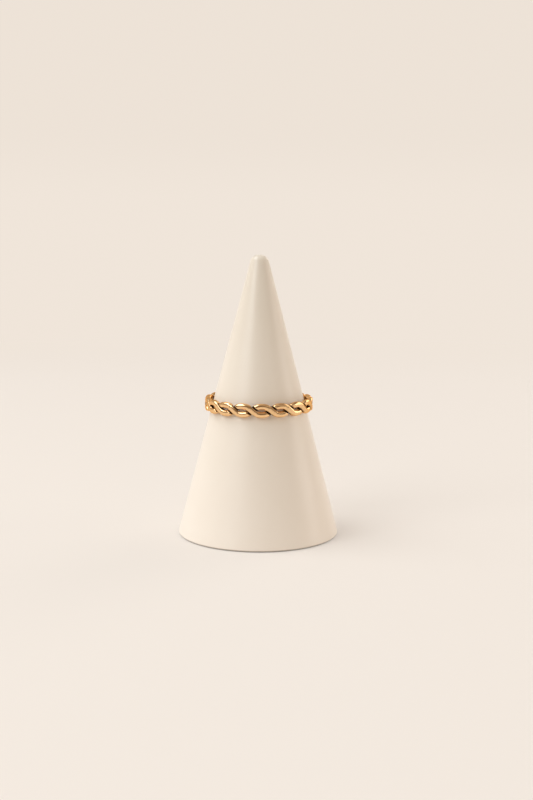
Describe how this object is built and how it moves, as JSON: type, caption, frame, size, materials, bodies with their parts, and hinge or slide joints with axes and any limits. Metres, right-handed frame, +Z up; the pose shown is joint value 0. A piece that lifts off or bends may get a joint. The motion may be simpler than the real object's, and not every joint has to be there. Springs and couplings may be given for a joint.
{
  "type": "stackable ring on ring cone",
  "caption": "Slim band of two gold wires twisted together and pressed flat, seated on a plain tapered ceramic cone that stands on its flat base.",
  "frame": {"origin": "centre of the cone's flat base", "axes": "+Z up along the cone's axis, towards its tip; -Y towards the viewer of the picture"},
  "size_m": [0.0288, 0.0288, 0.0503],
  "materials": {
    "cone_glaze": "satin",
    "ring_gold": "gloss"
  },
  "bodies": {
    "root": {"ring_cone": "cone_glaze", "strand_a": "ring_gold", "strand_b": "ring_gold"}
  },
  "joints": []
}
